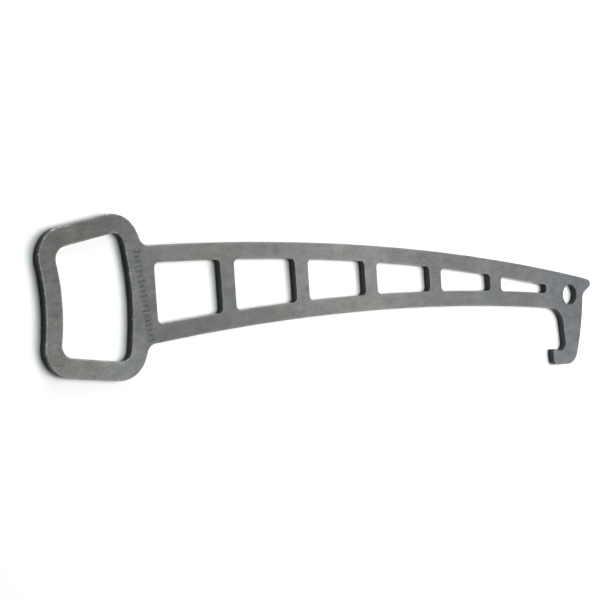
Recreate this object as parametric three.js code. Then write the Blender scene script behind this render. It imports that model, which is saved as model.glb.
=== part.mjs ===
// Flat key-ring opener / nut tool cut from one sheet of stainless steel.
//
// Frame (mm): the plate lies flat, +Z up, underside at z = 0.
// +X runs from the finger handle to the nose; the hook hangs towards -Y and opens towards -X.
// Outlines are given in drawing coordinates: x from the handle's left end,
// y from the handle's own centre line. ORIGIN then moves the drawing so that
// the frame's origin is the centre of the underside's bounding box.
//
// An outline is a closed, counter-clockwise list of corners [x, y, r, s]:
//   r  fillet radius at the corner
//   s  sagitta of the edge that leaves the corner (+ bows outwards, - inwards, 0 straight)
import * as THREE from 'three';

// ---------------------------------------------------------------- sheet
const THICKNESS = 2.8;
const EDGE_BREAK = 0.25;          // tumbled edge, both faces

// ---------------------------------------------------------------- handle
const HANDLE = {
  endX: -1.84, endY: 18.64, endR: 8.2, endSag: 3.05,       // outer corner by the finger end, hollow end edge
  shoulderX: 28.5, shoulderY: 23.61, shoulderR: 8.5,       // widest point
  neckX: 32.55, neckR: 3.0,                                // fillet into the arm
};
const LOOP = {                                              // finger / carabiner opening
  endX: 4.56, endY: 14.23, endR: 3.5, endSag: 1.73,
  farX: 25.9, farY: 17.93, farR: 3.2, farSag: 2.1,
};

// ---------------------------------------------------------------- arm
const ARM_TOP = { cx: 20.05, cy: -790.33, r: 803.83 };      // outer edges
const ARM_BOTTOM = { cx: 91.1, cy: -784.64, r: 773.0 };
const WIN_TOP = { cx: 20.88, cy: -770.54, r: 779.2 };       // edges of the row of windows
const WIN_BOTTOM = { cx: 89.52, cy: -805.79, r: 798.97 };
const WINDOW_COUNT = 6;
const WINDOW_FIRST_X = 35.83;
const WINDOW_PITCH = 27.15;
const WINDOW_LENGTH = 22.36;
const LAST_WINDOW_LENGTH = 22.05;
const WINDOW_R = 1.45;

// ---------------------------------------------------------------- head and hook
const LANYARD_HOLE = { x: 205.2, y: -15.05, r: 3.6 };
const THROAT_X = 200.77, THROAT_R = 6.3, THROAT_SAG = -0.12; // upper corner of the throat, on the arm's lower edge
const HEAD = [                                               // from the throat's lower corner round to the nose
  [201.94, -35.35, 2.7, 0],     // bottom of the throat
  [197.3, -33.35, 0.8, 0],      // lip of the tip
  [195.35, -32.65, 0.75, 0],     // tip, upper corner
  [195.5, -38.25, 2.0, 0],     // tip, lower corner
  [205.8, -38.85, 5.0, 0.93],  // heel of the hook, then its bowed back
  [211.75, -15.28, 2.95, 0],   // under the nose
  [217.85, -11.67, 1.37, 0],   // nose
];
const NOSE_TOP_X = 212.78, NOSE_TOP_R = 3.0;                 // where the arm's top edge turns down to the nose

const CURVE_STEP = 0.12;          // largest gap between a curve and its chords, mm
const STEEL_COLOUR = 0x8f9290;

// ---------------------------------------------------------------- outline maths
const onCircle = (c, x) => c.cy + Math.sqrt(c.r * c.r - (x - c.cx) ** 2);

function makeEdge(p, q, s) {
  const dx = q[0] - p[0], dy = q[1] - p[1], len = Math.hypot(dx, dy);
  const t = [dx / len, dy / len], n = [-t[1], t[0]];
  if (Math.abs(s) < 1e-9) return { k: 0, p, t, n };
  const a = Math.abs(s), R = (len * len / 4 + a * a) / (2 * a), k = s > 0 ? 1 : -1;
  const c = [(p[0] + q[0]) / 2 + n[0] * k * (R - a), (p[1] + q[1]) / 2 + n[1] * k * (R - a)];
  return { k, c, R };
}
const circleEdge = (c, k) => ({ k, c: [c.cx, c.cy], R: c.r });
function tangent(e, p) {
  if (e.k === 0) return e.t;
  const dx = p[0] - e.c[0], dy = p[1] - e.c[1], l = Math.hypot(dx, dy);
  return [-dy / l * e.k, dx / l * e.k];
}
function offset(e, d) {
  if (e.k === 0) return { k: 0, p: [e.p[0] + e.n[0] * d, e.p[1] + e.n[1] * d], t: e.t, n: e.n };
  return { k: e.k, c: e.c, R: e.R - e.k * d };
}
function crossing(a, b, near) {
  const options = [];
  if (a.k === 0 && b.k === 0) {
    const det = -a.t[0] * b.t[1] + b.t[0] * a.t[1];
    const wx = b.p[0] - a.p[0], wy = b.p[1] - a.p[1];
    const u = (-wx * b.t[1] + b.t[0] * wy) / det;
    return [a.p[0] + a.t[0] * u, a.p[1] + a.t[1] * u];
  }
  if (a.k === 0 || b.k === 0) {
    const l = a.k === 0 ? a : b, c = a.k === 0 ? b : a;
    const w = [l.p[0] - c.c[0], l.p[1] - c.c[1]];
    const B = w[0] * l.t[0] + w[1] * l.t[1], C = w[0] ** 2 + w[1] ** 2 - c.R ** 2;
    const D = Math.sqrt(Math.max(B * B - C, 0));
    for (const u of [-B + D, -B - D]) options.push([l.p[0] + l.t[0] * u, l.p[1] + l.t[1] * u]);
  } else {
    const d = [b.c[0] - a.c[0], b.c[1] - a.c[1]], L = Math.hypot(d[0], d[1]);
    const x = (L * L + a.R ** 2 - b.R ** 2) / (2 * L), h = Math.sqrt(Math.max(a.R ** 2 - x * x, 0));
    const u = [d[0] / L, d[1] / L];
    for (const s of [1, -1]) options.push([a.c[0] + u[0] * x - u[1] * h * s, a.c[1] + u[1] * x + u[0] * h * s]);
  }
  const far = (z) => Math.hypot(z[0] - near[0], z[1] - near[1]);
  return far(options[0]) <= far(options[1]) ? options[0] : options[1];
}
function footOn(e, p) {
  if (e.k === 0) {
    const u = (p[0] - e.p[0]) * e.t[0] + (p[1] - e.p[1]) * e.t[1];
    return [e.p[0] + e.t[0] * u, e.p[1] + e.t[1] * u];
  }
  const d = [p[0] - e.c[0], p[1] - e.c[1]], l = Math.hypot(d[0], d[1]);
  return [e.c[0] + d[0] / l * e.R, e.c[1] + d[1] / l * e.R];
}
function arcPoints(c, a, b, k, out) {
  const R = Math.hypot(a[0] - c[0], a[1] - c[1]);
  const A = Math.atan2(a[1] - c[1], a[0] - c[0]), B = Math.atan2(b[1] - c[1], b[0] - c[0]);
  const turn = 2 * Math.PI;
  let d = k > 0 ? (((B - A) % turn) + turn) % turn : -((((A - B) % turn) + turn) % turn);
  if (Math.abs(d) > 6) d = 0;
  const dTheta = 2 * Math.acos(Math.max(0, 1 - CURVE_STEP / R));
  const n = Math.max(1, Math.ceil(Math.abs(d) / Math.min(dTheta, Math.PI / 12)));
  for (let i = 0; i < n; i++) out.push([c[0] + R * Math.cos(A + d * i / n), c[1] + R * Math.sin(A + d * i / n)]);
}
// corners: [x, y, r, s] or [x, y, r, circleEdge] for an edge that follows a named circle
function outline(corners) {
  const n = corners.length;
  const edges = corners.map((v, i) => typeof v[3] === 'object' ? v[3] : makeEdge(v, corners[(i + 1) % n], v[3]));
  const joints = corners.map((v, i) => {
    const a = edges[(i + n - 1) % n], b = edges[i], ta = tangent(a, v), tb = tangent(b, v);
    const k = ta[0] * tb[1] - ta[1] * tb[0] > 0 ? 1 : -1;
    if (v[2] <= 0) return { p0: v, p1: v, c: null };
    const c = crossing(offset(a, k * v[2]), offset(b, k * v[2]), v);
    return { p0: footOn(a, c), p1: footOn(b, c), c, k };
  });
  const out = [];
  for (let i = 0; i < n; i++) {
    const j = joints[i], next = joints[(i + 1) % n].p0, e = edges[i];
    if (j.c) arcPoints(j.c, j.p0, j.p1, j.k, out);
    if (e.k === 0) out.push([j.p1[0], j.p1[1]]);
    else arcPoints(e.c, j.p1, next, e.k, out);
  }
  return out.filter((p, i) => {
    const q = out[(i + out.length - 1) % out.length];
    return Math.hypot(p[0] - q[0], p[1] - q[1]) > 1e-4;
  });
}
const area = (pts) => pts.reduce((s, p, i) => { const q = pts[(i + 1) % pts.length]; return s + p[0] * q[1] - q[0] * p[1]; }, 0) / 2;
// moves a closed outline towards the material by d (material on its left)
function inset(pts, d) {
  const n = pts.length;
  return pts.map((p, i) => {
    const a = pts[(i + n - 1) % n], b = pts[(i + 1) % n];
    const u = [p[0] - a[0], p[1] - a[1]], v = [b[0] - p[0], b[1] - p[1]];
    const lu = Math.hypot(u[0], u[1]), lv = Math.hypot(v[0], v[1]);
    const nx = -(u[1] / lu) - (v[1] / lv), ny = u[0] / lu + v[0] / lv, l2 = nx * nx + ny * ny;
    return [p[0] + 2 * d * nx / l2, p[1] + 2 * d * ny / l2];
  });
}

// ---------------------------------------------------------------- the outlines
const H = HANDLE;
const armStartTop = onCircle(ARM_TOP, H.neckX), armStartBottom = onCircle(ARM_BOTTOM, H.neckX);
const plateOutline = outline([
  [H.endX, -H.endY, H.endR, 0],
  [H.shoulderX, -H.shoulderY, H.shoulderR, 0],
  [H.neckX, armStartBottom, H.neckR, circleEdge(ARM_BOTTOM, -1)],
  [THROAT_X, onCircle(ARM_BOTTOM, THROAT_X), THROAT_R, THROAT_SAG],
  ...HEAD,
  [NOSE_TOP_X, onCircle(ARM_TOP, NOSE_TOP_X), NOSE_TOP_R, circleEdge(ARM_TOP, 1)],
  [H.neckX, armStartTop, H.neckR, 0],
  [H.shoulderX, H.shoulderY, H.shoulderR, 0],
  [H.endX, H.endY, H.endR, -H.endSag],
]);

const openings = [];
const L = LOOP;
openings.push(outline([
  [L.endX, -L.endY, L.endR, 0],
  [L.farX, -L.farY, L.farR, L.farSag],
  [L.farX, L.farY, L.farR, 0],
  [L.endX, L.endY, L.endR, -L.endSag],
]));
for (let i = 0; i < WINDOW_COUNT; i++) {
  const x0 = WINDOW_FIRST_X + WINDOW_PITCH * i;
  const x1 = x0 + (i === WINDOW_COUNT - 1 ? LAST_WINDOW_LENGTH : WINDOW_LENGTH);
  openings.push(outline([
    [x0, onCircle(WIN_BOTTOM, x0), WINDOW_R, circleEdge(WIN_BOTTOM, -1)],
    [x1, onCircle(WIN_BOTTOM, x1), WINDOW_R, 0],
    [x1, onCircle(WIN_TOP, x1), WINDOW_R, circleEdge(WIN_TOP, 1)],
    [x0, onCircle(WIN_TOP, x0), WINDOW_R, 0],
  ]));
}
const ring = [];
for (let i = 0; i < 40; i++) {
  const a = 2 * Math.PI * i / 40;
  ring.push([LANYARD_HOLE.x + LANYARD_HOLE.r * Math.cos(a), LANYARD_HOLE.y + LANYARD_HOLE.r * Math.sin(a)]);
}
openings.push(ring);

// ---------------------------------------------------------------- solid
// Every loop is lofted through four levels: face, wall, wall, face, with the edge broken by EDGE_BREAK.
const lo = [Infinity, Infinity], hi = [-Infinity, -Infinity];
for (const p of plateOutline) for (const a of [0, 1]) { lo[a] = Math.min(lo[a], p[a]); hi[a] = Math.max(hi[a], p[a]); }
const ORIGIN = [(lo[0] + hi[0]) / 2, (lo[1] + hi[1]) / 2];

const loops = [plateOutline, ...openings.map((o) => (area(o) > 0 ? o.slice().reverse() : o))];
const positions = [], index = [];
const levelOf = [];
for (const loop of loops) {
  const wall = loop, face = inset(loop, EDGE_BREAK), start = positions.length / 3, n = loop.length;
  const levels = [[face, 0], [wall, EDGE_BREAK], [wall, THICKNESS - EDGE_BREAK], [face, THICKNESS]];
  for (const [pts, z] of levels) for (const p of pts) positions.push(p[0] - ORIGIN[0], p[1] - ORIGIN[1], z);
  for (let l = 0; l < 3; l++) {
    for (let i = 0; i < n; i++) {
      const j = (i + 1) % n, a = start + l * n + i, b = start + l * n + j;
      index.push(a, b, b + n, a, b + n, a + n);
    }
  }
  levelOf.push({ start, n, face });
}
const toV = (pts) => pts.map((p) => new THREE.Vector2(p[0], p[1]));
const capTris = THREE.ShapeUtils.triangulateShape(toV(levelOf[0].face), levelOf.slice(1).map((l) => toV(l.face)));
const lookup = [];
for (const l of levelOf) for (let i = 0; i < l.n; i++) lookup.push(l.start + i);
const topShift = new Map();
for (const l of levelOf) for (let i = 0; i < l.n; i++) topShift.set(l.start + i, l.start + 3 * l.n + i);
for (const t of capTris) {
  const [a, b, c] = t.map((i) => lookup[i]);
  const ax = positions[3 * a], ay = positions[3 * a + 1];
  const turn = (positions[3 * b] - ax) * (positions[3 * c + 1] - ay) - (positions[3 * c] - ax) * (positions[3 * b + 1] - ay);
  const [p, q, r] = turn > 0 ? [a, b, c] : [a, c, b];
  index.push(p, r, q);
  index.push(topShift.get(p), topShift.get(q), topShift.get(r));
}

const geometry = new THREE.BufferGeometry();
geometry.setAttribute('position', new THREE.Float32BufferAttribute(positions, 3));
geometry.setIndex(index);
geometry.computeVertexNormals();

const steel = new THREE.MeshStandardMaterial({ color: STEEL_COLOUR, roughness: 0.48, metalness: 1.0 });
const plate = new THREE.Mesh(geometry, steel);
plate.name = 'tool_plate';

const tool = new THREE.Group();
tool.name = 'key_ring_plate_tool';
tool.add(plate);
export default tool;
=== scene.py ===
import bpy
import math
import random

import numpy as np
from mathutils import Matrix, Vector
from mathutils.geometry import delaunay_2d_cdt
from mathutils.kdtree import KDTree


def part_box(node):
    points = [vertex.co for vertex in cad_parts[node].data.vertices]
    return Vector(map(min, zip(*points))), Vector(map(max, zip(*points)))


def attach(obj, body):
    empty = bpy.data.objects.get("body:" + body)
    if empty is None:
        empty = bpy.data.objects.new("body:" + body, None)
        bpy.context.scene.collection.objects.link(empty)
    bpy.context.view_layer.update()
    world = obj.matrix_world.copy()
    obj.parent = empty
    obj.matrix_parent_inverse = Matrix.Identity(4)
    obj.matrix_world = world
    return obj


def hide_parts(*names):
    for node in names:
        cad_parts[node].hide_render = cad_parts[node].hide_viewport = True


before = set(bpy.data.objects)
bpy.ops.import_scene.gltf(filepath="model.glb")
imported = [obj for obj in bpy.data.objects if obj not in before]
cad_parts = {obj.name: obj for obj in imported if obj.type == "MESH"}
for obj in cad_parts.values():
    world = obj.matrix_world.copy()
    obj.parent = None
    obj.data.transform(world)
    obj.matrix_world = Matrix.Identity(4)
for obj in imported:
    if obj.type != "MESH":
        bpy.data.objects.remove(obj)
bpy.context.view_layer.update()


NODE = "tool_plate"
LO, HI = (np.array([float(v) for v in c]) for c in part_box(NODE))
THICK = (HI[2] - LO[2]) * 1000.0          # mm
rng = np.random.default_rng(20417)
random.seed(20417)

# ------------------------------------------------------------------ drawing (mm)
# x from the handle's left end, y from the handle's centre line, as in the solid.
HANDLE = dict(endX=-1.84, endY=18.64, endR=8.2, endSag=3.05, shoulderX=28.5, shoulderY=23.61, shoulderR=8.5, neckX=32.55, neckR=3.0)
LOOP = dict(endX=4.56, endY=14.23, endR=3.5, endSag=1.73, farX=25.9, farY=17.93, farR=3.2, farSag=2.1)
ARM_TOP = (20.05, -790.33, 803.83)
ARM_BOTTOM = (91.1, -784.64, 773.0)
WIN_TOP = (20.88, -770.54, 779.2)
WIN_BOTTOM = (89.52, -805.79, 798.97)
WINDOW_COUNT, WINDOW_FIRST_X, WINDOW_PITCH, WINDOW_LENGTH, LAST_WINDOW_LENGTH, WINDOW_R = 6, 35.83, 27.15, 22.36, 22.05, 1.45
HOLE = (205.2, -15.05, 3.6)
THROAT_X, THROAT_R, THROAT_SAG = 200.77, 6.3, -0.12
HEAD = [[201.94, -35.35, 2.7, 0], [197.3, -33.35, 0.8, 0], [195.35, -32.65, 0.75, 0], [195.5, -38.25, 2.0, 0],
        [205.8, -38.85, 5.0, 0.93], [211.75, -15.28, 2.95, 0], [217.85, -11.67, 1.37, 0]]
NOSE_TOP_X, NOSE_TOP_R = 212.78, 3.0


def on_circle(c, x):
    return c[1] + math.sqrt(c[2] ** 2 - (x - c[0]) ** 2)


def edge(p, q, s):
    p, q = np.array(p[:2], float), np.array(q[:2], float)
    if isinstance(s, tuple):                       # (circle, turn)
        c, k = s
        return dict(k=k, c=np.array(c[:2]), R=c[2])
    d = q - p
    L = np.hypot(*d)
    t = d / L
    n = np.array([-t[1], t[0]])
    if abs(s) < 1e-9:
        return dict(k=0, p=p, t=t, n=n)
    a = abs(s)
    R = (L * L / 4 + a * a) / (2 * a)
    k = 1 if s > 0 else -1
    return dict(k=k, c=(p + q) / 2 + n * k * (R - a), R=R)


def tangent(e, p):
    if e["k"] == 0:
        return e["t"]
    d = p - e["c"]
    d = d / np.hypot(*d)
    return np.array([-d[1], d[0]]) * e["k"]


def offset(e, d):
    if e["k"] == 0:
        return dict(k=0, p=e["p"] + e["n"] * d, t=e["t"], n=e["n"])
    return dict(k=e["k"], c=e["c"], R=e["R"] - e["k"] * d)


def crossing(a, b, near):
    if a["k"] == 0 and b["k"] == 0:
        u = np.linalg.solve(np.c_[a["t"], -b["t"]], b["p"] - a["p"])
        return a["p"] + a["t"] * u[0]
    if a["k"] == 0 or b["k"] == 0:
        l, c = (a, b) if a["k"] == 0 else (b, a)
        w = l["p"] - c["c"]
        B, C = w @ l["t"], w @ w - c["R"] ** 2
        D = math.sqrt(max(B * B - C, 0))
        o = [l["p"] + l["t"] * (-B + D), l["p"] + l["t"] * (-B - D)]
    else:
        d = b["c"] - a["c"]
        L = np.hypot(*d)
        x = (L * L + a["R"] ** 2 - b["R"] ** 2) / (2 * L)
        h = math.sqrt(max(a["R"] ** 2 - x * x, 0))
        u = d / L
        n = np.array([-u[1], u[0]])
        o = [a["c"] + u * x + n * h, a["c"] + u * x - n * h]
    return min(o, key=lambda z: np.hypot(*(z - near)))


def foot(e, p):
    if e["k"] == 0:
        return e["p"] + e["t"] * ((p - e["p"]) @ e["t"])
    d = p - e["c"]
    return e["c"] + d / np.hypot(*d) * e["R"]


def arc(c, a, b, k, step):
    R = np.hypot(*(a - c))
    A, B = math.atan2(*(a - c)[::-1]), math.atan2(*(b - c)[::-1])
    d = (B - A) % (2 * math.pi) if k > 0 else -((A - B) % (2 * math.pi))
    if abs(d) > 6:
        d = 0.0
    n = max(1, int(math.ceil(abs(d) * R / step)))
    t = A + d * np.linspace(0, 1, n + 1)[:-1]
    return np.c_[c[0] + R * np.cos(t), c[1] + R * np.sin(t)]


def outline(V, step=0.04):
    n = len(V)
    E = [edge(V[i], V[(i + 1) % n], V[i][3]) for i in range(n)]
    J = []
    for i in range(n):
        a, b, v, r = E[i - 1], E[i], np.array(V[i][:2], float), V[i][2]
        ta, tb = tangent(a, v), tangent(b, v)
        k = 1 if ta[0] * tb[1] - ta[1] * tb[0] > 0 else -1
        c = crossing(offset(a, k * r), offset(b, k * r), v)
        J.append((foot(a, c), foot(b, c), c, k))
    out = []
    for i in range(n):
        p0, p1, c, k = J[i]
        out.append(arc(c, p0, p1, k, step))
        q, e = J[(i + 1) % n][0], E[i]
        if e["k"] == 0:
            m = max(1, int(math.ceil(np.hypot(*(q - p1)) / step)))
            out.append(p1 + (q - p1) * np.linspace(0, 1, m + 1)[:-1, None])
        else:
            out.append(arc(e["c"], p1, q, e["k"], step))
    return np.vstack(out)


def resample(P, ds):
    Q = np.vstack([P, P[:1]])
    seg = np.hypot(*np.diff(Q, axis=0).T)
    s = np.r_[0, np.cumsum(seg)]
    keep = np.r_[True, seg > 1e-9]
    s, Q = s[keep], Q[keep]
    n = int(round(s[-1] / ds))
    t = np.arange(n) * s[-1] / n
    return np.c_[np.interp(t, s, Q[:, 0]), np.interp(t, s, Q[:, 1])], t, s[-1]


def area(P):
    Q = np.roll(P, -1, 0)
    return 0.5 * np.sum(P[:, 0] * Q[:, 1] - Q[:, 0] * P[:, 1])


H, L = HANDLE, LOOP
outer = outline([
    [H["endX"], -H["endY"], H["endR"], 0],
    [H["shoulderX"], -H["shoulderY"], H["shoulderR"], 0],
    [H["neckX"], on_circle(ARM_BOTTOM, H["neckX"]), H["neckR"], (ARM_BOTTOM, -1)],
    [THROAT_X, on_circle(ARM_BOTTOM, THROAT_X), THROAT_R, THROAT_SAG],
    *HEAD,
    [NOSE_TOP_X, on_circle(ARM_TOP, NOSE_TOP_X), NOSE_TOP_R, (ARM_TOP, 1)],
    [H["neckX"], on_circle(ARM_TOP, H["neckX"]), H["neckR"], 0],
    [H["shoulderX"], H["shoulderY"], H["shoulderR"], 0],
    [H["endX"], H["endY"], H["endR"], -H["endSag"]],
])
holes = [outline([
    [L["endX"], -L["endY"], L["endR"], 0],
    [L["farX"], -L["farY"], L["farR"], L["farSag"]],
    [L["farX"], L["farY"], L["farR"], 0],
    [L["endX"], L["endY"], L["endR"], -L["endSag"]],
])]
for i in range(WINDOW_COUNT):
    x0 = WINDOW_FIRST_X + WINDOW_PITCH * i
    x1 = x0 + (LAST_WINDOW_LENGTH if i == WINDOW_COUNT - 1 else WINDOW_LENGTH)
    holes.append(outline([
        [x0, on_circle(WIN_BOTTOM, x0), WINDOW_R, (WIN_BOTTOM, -1)],
        [x1, on_circle(WIN_BOTTOM, x1), WINDOW_R, 0],
        [x1, on_circle(WIN_TOP, x1), WINDOW_R, (WIN_TOP, 1)],
        [x0, on_circle(WIN_TOP, x0), WINDOW_R, 0],
    ]))
ta = np.linspace(0, 2 * np.pi, 400, endpoint=False)
holes.append(np.c_[HOLE[0] + HOLE[2] * np.cos(ta), HOLE[1] + HOLE[2] * np.sin(ta)])

# drawing -> row frame: the outline's box is the CAD node's box
centre = (outer.min(0) + outer.max(0)) / 2
SHIFT = (LO[:2] + HI[:2]) / 2 * 1000.0 - centre


def to_frame(x, y, z):
    return ((x + SHIFT[0]) * 0.001, (y + SHIFT[1]) * 0.001, LO[2] + z * 0.001)


# ------------------------------------------------------------------ small periodic noise along a closed loop
def loop_noise(s, length, shaded_side, seed, octaves=2):
    g = np.random.default_rng(seed)
    out = np.zeros_like(s)
    amp, tot = 1.0, 0.0
    for o in range(octaves):
        n = max(4, int(round(length / shaded_side * 2 ** o)))
        k = g.uniform(-1, 1, n)
        x = s / length * n
        i = np.floor(x).astype(int)
        f = x - i
        f = f * f * (3 - 2 * f)
        out += amp * (k[i % n] * (1 - f) + k[(i + 1) % n] * f)
        tot += amp
        amp *= 0.5
    return out / tot


# ------------------------------------------------------------------ the plate
DS = 0.34                 # spacing along the outlines, mm
ROUND_STEPS = 4           # facets in each tumbled edge
WALL_ROWS = 4
SUPPORT = 0.16            # flat ring just inside the tumbled edge

verts, faces, a_wall, a_rim, a_s, a_dark, a_side = [], [], [], [], [], [], []


def add(x, y, z, wall, rim, s, dark=0.0, side=0.0):
    verts.append(to_frame(x, y, z))
    a_wall.append(wall)
    a_rim.append(rim)
    a_s.append(s)
    a_dark.append(dark)
    a_side.append(side)
    return len(verts) - 1


loops = []
for li, P in enumerate([outer] + holes):
    if (area(P) > 0) != (li == 0):
        P = P[::-1]
    Q, s, length = resample(P, DS if li < 8 else 0.22)
    t = np.roll(Q, -1, 0) - np.roll(Q, 1, 0)
    t /= np.hypot(*t.T)[:, None]
    n_in = np.c_[-t[:, 1], t[:, 0]]
    # edge radius on each face: tumbling rounds the outside more than the windows
    base = 0.26 if li == 0 else (0.24 if li == 1 else 0.2)
    e_top = base * (1 + 0.22 * loop_noise(s, length, 6.0, 100 + li, 3))
    e_bot = base * (1 + 0.22 * loop_noise(s, length, 6.0, 200 + li, 3))
    # nicks: short stretches where the edge is knocked back
    g = np.random.default_rng(300 + li)
    for k in range(60 if li == 0 else 0):
        c0, w, d = g.uniform(0, length), g.uniform(0.35, 0.9), g.uniform(0.04, 0.14)
        if li == 0 and k < 18:      # more of them along the handle's outside
            c0 = (-g.uniform(0, 95)) % length if k % 2 else g.uniform(0, 30)
        u = np.abs((s - c0 + length / 2) % length - length / 2)
        bump = d * np.clip(1 - (u / w) ** 2, 0, 1) ** 2
        if g.uniform() < 0.6:
            e_top = e_top + bump
        else:
            e_bot = e_bot + bump
    wave = 0.02 * loop_noise(s, length, 3.5, 400 + li, 2)            # hand-finished outline
    # the drawing runs along the middle of each rounded edge; the wall stands a little further out
    outn = -n_in
    along = np.clip(Q[:, 0] / 200.0, 0, 1)
    wave = wave + np.clip(outn[:, 0], 0, 1) * (0.12 + 0.14 * along) + np.clip(outn[:, 1], 0, 1) * 0.1 * along
    # side: how far each edge faces the handle; it sets the painted shade and painted light on its wall
    loops.append(dict(P=Q, n=n_in, s=s, len=length, et=e_top, eb=e_bot, wave=-wave, side=np.clip(-outn[:, 0], 0, 1)))

columns = []
for lp in loops:
    Q, n, s, m = lp["P"], lp["n"], lp["s"], len(lp["P"])
    rings = []

    def ring(inset, z, wall, rim):
        r = []
        for i in range(m):
            x, y = Q[i] + n[i] * (inset[i] + lp["wave"][i])
            r.append(add(x, y, z[i], wall, rim, s[i], 0.0, lp["side"][i]))
        rings.append(r)

    et, eb, one = lp["et"], lp["eb"], np.ones(m)
    ring(et + SUPPORT, THICK * one, 0.0, 0.55)
    for j in range(ROUND_STEPS + 1):
        a = math.pi / 2 * j / ROUND_STEPS
        ring(et * (1 - math.sin(a)), THICK - et * (1 - math.cos(a)), max(0.0, (j - 1.6) / (ROUND_STEPS - 1.6)), 1.0)
    for k in range(1, WALL_ROWS):
        f = k / WALL_ROWS
        z = (THICK - et) * (1 - f) + eb * f
        rough = 0.012 * (loop_noise(s, lp["len"], 0.7, 500 + k + int(lp["len"]), 2) + 1)
        ring(rough, z, 1.0, 1.0 - min(f, 1 - f) * 2)
    for j in range(ROUND_STEPS, -1, -1):
        a = math.pi / 2 * j / ROUND_STEPS
        ring(eb * (1 - math.sin(a)), eb * (1 - math.cos(a)), max(0.0, (j - 1.6) / (ROUND_STEPS - 1.6)), 1.0)
    ring(eb + SUPPORT, 0 * one, 0.0, 0.55)
    for a, b in zip(rings[:-1], rings[1:]):
        for i in range(m):
            j = (i + 1) % m
            faces.append((a[i], b[i], b[j], a[j]))
    lp["top"], lp["bot"] = rings[0], rings[-1]

# ------------------------------------------------------------------ stamped graduation on the neck bar
# plain short strokes, evenly spaced, one long in every three
STAMP_DEPTH = 0.08
stamps = []
A0, A1 = np.array([30.35, 11.9]), np.array([33.1, -12.6])
ax = (A1 - A0) / np.hypot(*(A1 - A0))
across = np.array([-ax[1], ax[0]])
N_STAMP = 19
for i in range(N_STAMP):
    c = A0 + (A1 - A0) * i / (N_STAMP - 1)
    hl = 1.15 if i % 3 == 0 else 0.72
    hw = 0.14
    c = c + across * (0.0)
    pts = []
    for sx, sy, a0 in ((1, 1, 0), (-1, 1, 90), (-1, -1, 180), (1, -1, 270)):
        for k in range(4):
            a = math.radians(a0 + 30 * k)
            pts.append(c + across * (sx * (hl - hw) + hw * math.cos(a)) + ax * (hw * math.sin(a)))
    pts = np.array(pts)
    d = np.hypot(*(pts - np.roll(pts, 1, 0)).T)
    pts = pts[d > 1e-6]
    if area(pts) < 0:
        pts = pts[::-1]
    stamps.append(pts)


def inside(P, X):
    """crossing-number test of points X in closed polygon P"""
    res = np.zeros(len(X), bool)
    lo, hi = P.min(0), P.max(0)
    idx = np.where((X[:, 0] > lo[0]) & (X[:, 0] < hi[0]) & (X[:, 1] > lo[1]) & (X[:, 1] < hi[1]))[0]
    A, B = P, np.roll(P, -1, 0)
    for c in range(0, len(idx), 400):
        x = X[idx[c:c + 400]]
        cond = (A[None, :, 1] > x[:, 1:2]) != (B[None, :, 1] > x[:, 1:2])
        with np.errstate(divide="ignore", invalid="ignore"):
            xi = A[None, :, 0] + (x[:, 1:2] - A[None, :, 1]) * (B[None, :, 0] - A[None, :, 0]) / (B[None, :, 1] - A[None, :, 1])
        res[idx[c:c + 400]] = (np.sum(cond & (x[:, 0:1] < xi), axis=1) % 2) == 1
    return res


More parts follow.
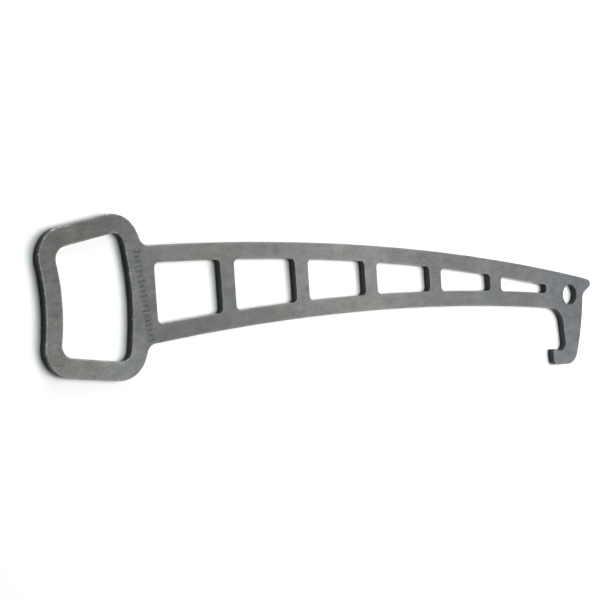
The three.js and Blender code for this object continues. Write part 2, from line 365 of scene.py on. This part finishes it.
def cap(which, z, marks):
    """triangulates one face between the support rings, with interior points"""
    pts, edges, ids = [], [], []
    rims = []
    for lp in loops:
        ring_ids = lp[which]
        start = len(pts)
        P = np.array([[verts[i][0] * 1000 - SHIFT[0], verts[i][1] * 1000 - SHIFT[1]] for i in ring_ids])
        rims.append(P)
        pts += [tuple(p) for p in P]
        ids += ring_ids
        m = len(ring_ids)
        edges += [(start + i, start + (i + 1) % m) for i in range(m)]
    grooves = []
    for g in marks:
        start = len(pts)
        top_ids = [add(p[0], p[1], z, 0.0, 0.0, 0.0, 0.35) for p in g]
        pts += [tuple(p) for p in g]
        ids += top_ids
        m = len(g)
        edges += [(start + i, start + (i + 1) % m) for i in range(m)]
        grooves.append((g, top_ids))
    allr = np.vstack(rims + list(marks)) if len(marks) else np.vstack(rims)
    kd = KDTree(len(allr))
    for i, p in enumerate(allr):
        kd.insert((p[0], p[1], 0), i)
    kd.balance()
    gx = np.arange(-1, 218, 0.95)
    gy = np.arange(-40, 24, 0.95)
    G = np.array([[x + (0.47 if k % 2 else 0), y] for k, y in enumerate(gy) for x in gx])
    G += rng.uniform(-0.12, 0.12, G.shape)
    ok = inside(rims[0], G)
    for r in rims[1:]:
        ok &= ~inside(r, G)
    for g in marks:
        ok &= ~inside(g, G)
    G = G[ok]
    kept = []
    for p in G:
        d = kd.find((p[0], p[1], 0))[2]
        if d > 0.42:
            kept.append((p, d))
    for p, d in kept:
        rim = max(0.0, 0.55 * (1 - (d + SUPPORT) / 1.1))
        ids.append(add(p[0], p[1], z, 0.0, rim, 0.0))
        pts.append(tuple(p))
    co, _, tri, ov, _, _ = delaunay_2d_cdt([Vector(p) for p in pts], edges, [], 0, 1e-7)
    C = np.array([[sum(co[v][a] for v in t) / 3 for a in (0, 1)] for t in tri])
    ok = inside(rims[0], C)
    for r in rims[1:]:
        ok &= ~inside(r, C)
    for g in marks:
        ok &= ~inside(g, C)
    remap = [ids[o[0]] if o else None for o in ov]
    for t, k in zip(tri, ok):
        if not k:
            continue
        f = [remap[v] for v in t]
        if None in f or len(set(f)) < 3:
            continue
        p, q, r = (co[v] for v in t)
        ccw = (q[0] - p[0]) * (r[1] - p[1]) - (r[0] - p[0]) * (q[1] - p[1]) > 0
        up = which == "top"
        faces.append(tuple(f) if ccw == up else tuple(f[::-1]))
    for g, top_ids in grooves:
        c = g.mean(0)
        n = len(g)
        wall_ids = []
        for k, (shrink, dz) in enumerate(((0.05, 0.55), (0.085, 1.0))):
            tt = np.roll(g, -1, 0) - np.roll(g, 1, 0)
            tt /= np.hypot(*tt.T)[:, None]
            ins = g + np.c_[-tt[:, 1], tt[:, 0]] * shrink
            wall_ids.append([add(p[0], p[1], z - STAMP_DEPTH * dz, 0.0, 0.0, 0.0, 1.0) for p in ins])
        prev = top_ids
        for w in wall_ids:
            for i in range(n):
                j = (i + 1) % n
                faces.append((prev[i], prev[j], w[j], w[i]))
            prev = w
        mid = add(c[0], c[1], z - STAMP_DEPTH, 0.0, 0.0, 0.0, 1.0)
        for i in range(n):
            faces.append((prev[i], prev[(i + 1) % n], mid))


cap("top", THICK, stamps)
cap("bot", 0.0, [])

me = bpy.data.meshes.new("steel_plate")
me.from_pydata(verts, [], faces)
me.validate()
# the last attribute holds how far each edge faces the handle; the material paints shade on those walls and light on
# the others with it
for name, data in (("wall", a_wall), ("rim", a_rim), ("arc_mm", a_s), ("stamp", a_dark), ("shaded_side", a_side)):
    at = me.attributes.new(name, "FLOAT", "POINT")
    at.data.foreach_set("value", np.array(data, dtype=np.float32))
me.shade_smooth()
plate = bpy.data.objects.new("steel_plate", me)
bpy.context.scene.collection.objects.link(plate)
print("PLATE", len(verts), len(faces))


# ------------------------------------------------------------------ materials
class Nodes:
    def __init__(self, mat):
        mat.use_nodes = True
        self.t = mat.node_tree
        self.t.nodes.clear()

    def n(self, kind, **kw):
        x = self.t.nodes.new(kind)
        for k, v in kw.items():
            setattr(x, k, v)
        return x

    def link(self, a, b):
        self.t.links.new(a, b)

    def feed(self, sock, v):
        if isinstance(v, bpy.types.NodeSocket):
            self.link(v, sock)
        else:
            sock.default_value = v

    def math(self, op, a, b=None, c=None, clamp=False):
        x = self.n("ShaderNodeMath", operation=op, use_clamp=clamp)
        self.feed(x.inputs[0], a)
        if b is not None:
            self.feed(x.inputs[1], b)
        if c is not None:
            self.feed(x.inputs[2], c)
        return x.outputs[0]

    def ramp(self, v, lo, hi, a=0.0, b=1.0, kind="SMOOTHSTEP"):
        x = self.n("ShaderNodeMapRange", interpolation_type=kind, clamp=True) if kind == "LINEAR" else self.n("ShaderNodeMapRange", interpolation_type=kind)
        self.feed(x.inputs["Value"], v)
        x.inputs["From Min"].default_value = lo
        x.inputs["From Max"].default_value = hi
        x.inputs["To Min"].default_value = a
        x.inputs["To Max"].default_value = b
        return x.outputs["Result"]

    def mix(self, f, a, b, blend="MIX"):
        x = self.n("ShaderNodeMix", data_type="RGBA", blend_type=blend)
        self.feed(x.inputs[0], f)
        for i, v in ((6, a), (7, b)):
            if isinstance(v, bpy.types.NodeSocket):
                self.link(v, x.inputs[i])
            else:
                x.inputs[i].default_value = (*v, 1.0)
        return x.outputs[2]

    def noise(self, vec, shaded_side, detail=3.0, rough=0.55, dist=0.0):
        x = self.n("ShaderNodeTexNoise", noise_dimensions="3D")
        self.link(vec, x.inputs["Vector"])
        x.inputs["Scale"].default_value = shaded_side
        x.inputs["Detail"].default_value = detail
        x.inputs["Roughness"].default_value = rough
        x.inputs["Distortion"].default_value = dist
        return x.outputs["Fac"]

    def attr(self, name):
        return self.n("ShaderNodeAttribute", attribute_name=name, attribute_type="GEOMETRY").outputs["Fac"]


# broad patches of darker or brighter metal: centre (drawing mm), radius (mm), change of tone
PATINA = [
    ((14.0, 21.0), 32.0, -0.25),     # top bar of the handle
    ((-1.0, 6.0), 20.0, -0.1),       # end bar
    ((0.0, -14.0), 14.0, -0.06),
    ((16.0, -22.0), 26.0, 0.1),      # bottom bar
    ((31.0, 2.0), 17.0, -0.03),      # neck bar
    ((46.0, -10.0), 24.0, -0.22),    # lower rail, first window
    ((60.0, 4.0), 12.0, -0.1),       # first rung
    ((72.0, -8.0), 15.0, -0.14),     # lower rail, second window
    ((110.0, 4.0), 34.0, 0.15),      # middle of the arm
    ((152.0, 1.0), 20.0, -0.1),
    ((180.0, -9.0), 22.0, -0.12),
    ((207.0, -18.0), 16.0, -0.13),   # head
]


def steel_material():
    mat = bpy.data.materials.new("tumbled_steel")
    N = Nodes(mat)
    tc = N.n("ShaderNodeTexCoord").outputs["Object"]
    mp = N.n("ShaderNodeMapping")
    mp.inputs["Scale"].default_value = (1000, 1000, 1000)      # coordinates in mm
    N.link(tc, mp.inputs["Vector"])
    mm = mp.outputs["Vector"]
    sep = N.n("ShaderNodeSeparateXYZ")
    N.link(mm, sep.inputs[0])
    X, Y, Z = sep.outputs
    wall, rim, arc_mm, stamp, side = (N.attr(a) for a in ("wall", "rim", "arc_mm", "stamp", "shaded_side"))
    # painted shade and painted light on the cut walls: walls that face the handle get a dark colour as painted
    # shade, walls facing other ways get a bright colour as painted light
    shaded_facing = N.ramp(side, 0.12, 0.55)
    shaded_wall = N.math("MULTIPLY", wall, shaded_facing)

    # face: rolled and tumbled stainless, faintly stained in warm and blue patches
    grain_dir = N.n("ShaderNodeMapping")                       # the sheet was rolled along X
    grain_dir.inputs["Scale"].default_value = (0.6, 1.2, 1.0)
    N.link(mm, grain_dir.inputs["Vector"])
    rolled = grain_dir.outputs["Vector"]
    big = N.noise(mm, 0.055, 3, 0.5, 0.4)
    mid = N.noise(mm, 0.16, 2, 0.5, 0.6)
    mid2 = N.noise(rolled, 0.42, 2, 0.6, 0.4)
    fine = N.noise(rolled, 1.1, 2, 0.6)
    grain = N.noise(mm, 2.9, 2, 0.7)
    neutral, warm, blue = (0.186, 0.190, 0.184), (0.189, 0.185, 0.173), (0.164, 0.178, 0.196)
    # where the metal is bluer: neck bar and head
    neck = N.math("MULTIPLY", N.ramp(X, -84, -77), N.ramp(X, -68, -73))
    head = N.ramp(X, 72, 96)
    blue_mask = N.math("MAXIMUM", N.math("MULTIPLY", neck, 0.4), head)
    b1 = N.math("ADD", N.ramp(big, 0.5, 0.68, 0.0, 0.35), N.math("MULTIPLY", blue_mask, 0.8), clamp=True)
    w1 = N.math("MULTIPLY", N.ramp(big, 0.5, 0.34), N.ramp(X, 20, -90, 0.1, 0.8))
    col = N.mix(b1, neutral, blue)
    col = N.mix(w1, col, warm)
    hue = N.noise(rolled, 0.75, 3, 0.6, 0.5)
    hue_on = N.math("ADD", N.ramp(X, -62, -80, 0.45, 1.0), N.math("MULTIPLY", head, 0.25))
    col = N.mix(N.math("MULTIPLY", N.ramp(hue, 0.52, 0.68, 0.0, 0.5), hue_on), col, (0.162, 0.179, 0.199))
    col = N.mix(N.math("MULTIPLY", N.ramp(hue, 0.48, 0.32, 0.0, 0.5), hue_on), col, (0.203, 0.187, 0.166))
    tone = N.math("ADD", N.ramp(mid, 0.2, 0.8, -0.22, 0.22, "LINEAR"), N.ramp(mid2, 0.2, 0.8, -0.17, 0.17, "LINEAR"))
    tone = N.math("ADD", tone, N.ramp(fine, 0.2, 0.8, -0.2, 0.2, "LINEAR"))
    tone = N.math("ADD", tone, N.ramp(grain, 0.2, 0.8, -0.3, 0.3, "LINEAR"))
    # darker dull stains and a few lighter rubbed spots
    st = N.noise(mm, 0.11, 5, 0.62, 1.2)
    tone = N.math("ADD", tone, N.ramp(st, 0.58, 0.72, 0.0, -0.1))
    tone = N.math("ADD", tone, N.ramp(st, 0.38, 0.28, 0.0, 0.1))
    tone = N.math("MULTIPLY", tone, N.ramp(X, -62, -80, 1.0, 1.25))
    tone = N.math("ADD", tone, 1.0)
    for (cx, cy), rad, amount in PATINA:
        d = N.n("ShaderNodeVectorMath", operation="DISTANCE")
        flat = N.n("ShaderNodeCombineXYZ")
        N.link(X, flat.inputs[0])
        N.link(Y, flat.inputs[1])
        N.link(flat.outputs[0], d.inputs[0])
        d.inputs[1].default_value = (cx + SHIFT[0], cy + SHIFT[1], 0.0)
        tone = N.math("MULTIPLY", tone, N.ramp(d.outputs["Value"], rad, rad * 0.15, 1.0, 1.0 + amount))
    gray = N.n("ShaderNodeCombineColor")
    for i in range(3):
        N.link(tone, gray.inputs[i])
    col = N.mix(1.0, col, gray.outputs[0], "MULTIPLY")
    # small dark pits
    pit = N.n("ShaderNodeTexVoronoi", feature="F1")
    N.link(mm, pit.inputs["Vector"])
    pit.inputs["Scale"].default_value = 0.9
    pits = N.math("MULTIPLY", N.ramp(pit.outputs["Distance"], 0.2, 0.08), N.ramp(N.noise(mm, 0.5, 2, 0.5), 0.5, 0.6))
    col = N.mix(N.math("MULTIPLY", pits, 0.35), col, (0.09, 0.088, 0.083))

    # rubbed edge: bare bright metal plus a painted highlight along the rounded edge, broken up along its length
    rub_n = N.noise(mm, 0.55, 4, 0.7, 0.3)
    left = N.ramp(X, -86, -104)                                  # rubbed and painted brighter most at the loop
    rub_and_sheen = N.math("MULTIPLY", N.ramp(rim, 0.35, 1.0), N.math("ADD", N.ramp(rub_n, 0.38, 0.62, 0.15, 0.8), N.math("MULTIPLY", left, 0.3)), clamp=True)
    col = N.mix(N.math("MULTIPLY", rub_and_sheen, 0.55), col, (0.27, 0.262, 0.245))
    # painted glints: small bright specks on the rounded edge, strongest at the handle
    glint = N.math("MULTIPLY", N.ramp(rim, 0.8, 1.0), N.ramp(N.noise(mm, 1.7, 3, 0.65), 0.56, 0.63))
    glint = N.math("MULTIPLY", glint, N.ramp(X, -60, -84, 0.15, 1.0))

    # cut wall facing the handle: dark colour as painted shade, with fine upright striations
    cv = N.n("ShaderNodeCombineXYZ")
    N.feed(cv.inputs[0], N.math("MULTIPLY", arc_mm, 3.2))
    N.feed(cv.inputs[1], N.math("MULTIPLY", Z, 0.55))
    stri = N.noise(cv.outputs[0], 1.0, 4, 0.7, 0.2)
    cv2 = N.n("ShaderNodeCombineXYZ")
    N.feed(cv2.inputs[0], N.math("MULTIPLY", arc_mm, 0.4))
    N.feed(cv2.inputs[1], N.math("MULTIPLY", Z, 0.5))
    stri2 = N.noise(cv2.outputs[0], 1.0, 3, 0.6)
    wc = N.mix(N.ramp(stri, 0.3, 0.72, kind="LINEAR"), (0.023, 0.0252, 0.0238), (0.045, 0.048, 0.046))
    wc = N.mix(N.math("MULTIPLY", N.ramp(stri2, 0.35, 0.65, 0.0, 0.5), N.ramp(X, -60, -95, 0.15, 1.0)), wc, (0.036, 0.032, 0.027))
    # painted reflection: the wall is painted lighter towards its top, where it mirrors floor beyond its own shadow
    wc = N.mix(N.ramp(Z, 1.3, 2.75, 0.0, 0.6), wc, (0.058, 0.056, 0.052))
    wc = N.mix(N.math("MULTIPLY", blue_mask, 0.8), wc, N.mix(1.0, wc, (0.86, 1.0, 1.16), "MULTIPLY"))
    # painted light: walls that don't face the handle take a bright bare-metal colour
    lit_wall = N.math("SUBTRACT", wall, shaded_wall)
    lit_wall_col = N.mix(N.ramp(stri, 0.3, 0.72, kind="LINEAR"), (0.30, 0.302, 0.292), (0.40, 0.402, 0.39))
    col = N.mix(lit_wall, col, lit_wall_col)
    # painted shade: walls facing the handle take the dark wall colour
    col = N.mix(shaded_wall, col, wc)
    # stamped strokes hold dirt
    col = N.mix(N.math("MULTIPLY", stamp, 0.7), col, (0.088, 0.09, 0.092))
    # painted glints laid over the colour
    col = N.mix(N.math("MULTIPLY", glint, 0.6), col, (0.55, 0.53, 0.49))

    rough = N.math("ADD", N.ramp(mid, 0.3, 0.7, 0.72, 0.78, "LINEAR"), N.ramp(fine, 0.3, 0.7, -0.05, 0.05, "LINEAR"))
    rough = N.math("MULTIPLY_ADD", rub_and_sheen, -0.13, rough)
    rough = N.math("MULTIPLY_ADD", glint, -0.15, rough)
    rough = N.math("MULTIPLY_ADD", shaded_wall, -0.36, rough)
    rough = N.math("MULTIPLY_ADD", lit_wall, -0.34, rough)

    # surface: tumbling peen, small pits, hairline scratches, striations on the cut wall
    sc_map = N.n("ShaderNodeMapping")
    sc_map.inputs["Rotation"].default_value = (0, 0, 0.6)
    sc_map.inputs["Scale"].default_value = (0.35, 9.0, 1.0)
    N.link(mm, sc_map.inputs["Vector"])
    scr = N.ramp(N.noise(sc_map.outputs["Vector"], 1.0, 3, 0.6), 0.62, 0.7)
    hgt = N.math("MULTIPLY", grain, 0.5)
    hgt = N.math("MULTIPLY_ADD", fine, 0.9, hgt)
    hgt = N.math("MULTIPLY_ADD", scr, -0.18, hgt)
    hgt = N.math("MULTIPLY_ADD", pits, -0.25, hgt)
    face_w = N.math("SUBTRACT", 1.0, wall)
    hgt = N.math("MULTIPLY", hgt, N.math("MULTIPLY_ADD", face_w, 0.85, 0.15))
    hgt = N.math("MULTIPLY_ADD", N.math("MULTIPLY", stri, wall), 1.8, hgt)
    bump = N.n("ShaderNodeBump")
    bump.inputs["Strength"].default_value = 0.55
    bump.inputs["Distance"].default_value = 0.00003
    N.link(hgt, bump.inputs["Height"])

    b = N.n("ShaderNodeBsdfPrincipled")
    b.inputs["Metallic"].default_value = 1.0
    N.link(col, b.inputs["Base Color"])
    N.link(rough, b.inputs["Roughness"])
    N.link(bump.outputs[0], b.inputs["Normal"])
    out = N.n("ShaderNodeOutputMaterial")
    N.link(b.outputs[0], out.inputs[0])
    return mat


plate.data.materials.append(steel_material())
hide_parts(NODE)
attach(plate, "root")

# ------------------------------------------------------------------ floor
def floor_material():
    mat = bpy.data.materials.new("pale_floor")
    N = Nodes(mat)
    tc = N.n("ShaderNodeTexCoord").outputs["Object"]
    sep = N.n("ShaderNodeSeparateXYZ")
    N.link(tc, sep.inputs[0])
    r2 = N.math("ADD", N.math("MULTIPLY", sep.outputs[0], sep.outputs[0]), N.math("MULTIPLY", sep.outputs[1], sep.outputs[1]))
    far = N.math("SQRT", r2)                                     # m from the plate's centre
    n1 = N.noise(tc, 3.0, 3, 0.5)
    n2 = N.noise(tc, 900.0, 2, 0.5)
    col = N.mix(n1, (0.9, 0.9, 0.9), (0.92, 0.92, 0.918))
    bump = N.n("ShaderNodeBump")
    bump.inputs["Strength"].default_value = 0.1
    bump.inputs["Distance"].default_value = 0.00005
    N.link(n2, bump.inputs["Height"])
    b = N.n("ShaderNodeBsdfPrincipled")
    b.inputs["Roughness"].default_value = 0.9
    b.inputs["Specular IOR Level"].default_value = 0.1
    N.link(col, b.inputs["Base Color"])
    N.link(bump.outputs[0], b.inputs["Normal"])
    # the soft boxes don't reach the far floor: it glows there, too flat to the plate to light it
    b.inputs["Emission Color"].default_value = (0.95, 0.97, 1.0, 1.0)
    N.link(N.ramp(far, 0.22, 0.5, 0.0, 1.15), b.inputs["Emission Strength"])
    out = N.n("ShaderNodeOutputMaterial")
    N.link(b.outputs[0], out.inputs[0])
    return mat


fm = bpy.data.meshes.new("floor")
R = 20.0
z0 = LO[2] - 0.00002
fm.from_pydata([(-R, -R, z0), (R, -R, z0), (R, R, z0), (-R, R, z0)], [], [(0, 1, 2, 3)])
floor = bpy.data.objects.new("floor", fm)
bpy.context.scene.collection.objects.link(floor)
floor.data.materials.append(floor_material())

# ------------------------------------------------------------------ light
# six soft boxes, 300 mm square: two overhead, the rest low or high around the plate
SOFT_BOXES = [
    # name, position (m), power per colour channel (W)
    ("over_right", (0.30, 0.00, 0.52), (2.90, 2.72, 2.58)),
    ("over_centre", (0.00, 0.00, 0.52), (1.20, 1.31, 1.31)),
    ("back_low", (0.00, 0.70, 0.22), (1.60, 1.66, 1.68)),
    ("right_low", (0.70, 0.00, 0.22), (0.70, 0.80, 0.99)),
    ("front_right", (0.34, -0.56, 0.52), (0.93, 0.93, 1.00)),
    ("back_high", (0.06, 0.60, 0.52), (0.86, 0.94, 0.97)),
]
for name, pos, rgb in SOFT_BOXES:
    ld = bpy.data.lights.new(name, "AREA")
    ld.shape = "SQUARE"
    ld.size = 0.30
    ld.energy = max(rgb)
    ld.color = tuple(c / max(rgb) for c in rgb)
    lo_ = bpy.data.objects.new(name, ld)
    bpy.context.scene.collection.objects.link(lo_)
    lo_.location = pos
    lo_.rotation_euler = (-Vector(pos)).to_track_quat("-Z", "Y").to_euler()
    lo_.visible_camera = False

world = bpy.data.worlds.new("studio")
bpy.context.scene.world = world
world.use_nodes = True
world.node_tree.nodes["Background"].inputs["Color"].default_value = (0.9, 0.96, 1.0, 1.0)
world.node_tree.nodes["Background"].inputs["Strength"].default_value = 0.02

# ------------------------------------------------------------------ camera
PHI, AL, K = math.radians(38.9), math.radians(-5.1), 356.5028      # tilt, roll about the face's normal, height above the face (mm)
FOOT = (-200.2006, 19.3124)                                        # point of the face plane under the camera, drawing mm
cam_data = bpy.data.cameras.new("camera")
cam_data.sensor_width = 36.0
cam_data.lens = 1550.0 * 36.0 / 600.0
cam_data.clip_start = 0.01
cam_data.clip_end = 50.0
cam = bpy.data.objects.new("camera", cam_data)
bpy.context.scene.collection.objects.link(cam)
right = Vector((math.cos(AL) * math.cos(PHI), math.sin(AL) * math.cos(PHI), math.sin(PHI)))
up = Vector((-math.sin(AL), math.cos(AL), 0.0))
fwd = Vector((math.cos(AL) * math.sin(PHI), math.sin(AL) * math.sin(PHI), -math.cos(PHI)))
px, py, pz = to_frame(FOOT[0], FOOT[1], THICK + K)
m = Matrix(((right.x, up.x, -fwd.x, px), (right.y, up.y, -fwd.y, py), (right.z, up.z, -fwd.z, pz), (0, 0, 0, 1)))
cam.matrix_world = m
bpy.context.scene.camera = cam

vs = bpy.context.scene.view_settings
vs.view_transform = "Standard"
vs.look = "None"
vs.exposure = 0.0
vs.gamma = 1.0

bpy.context.view_layer.update()
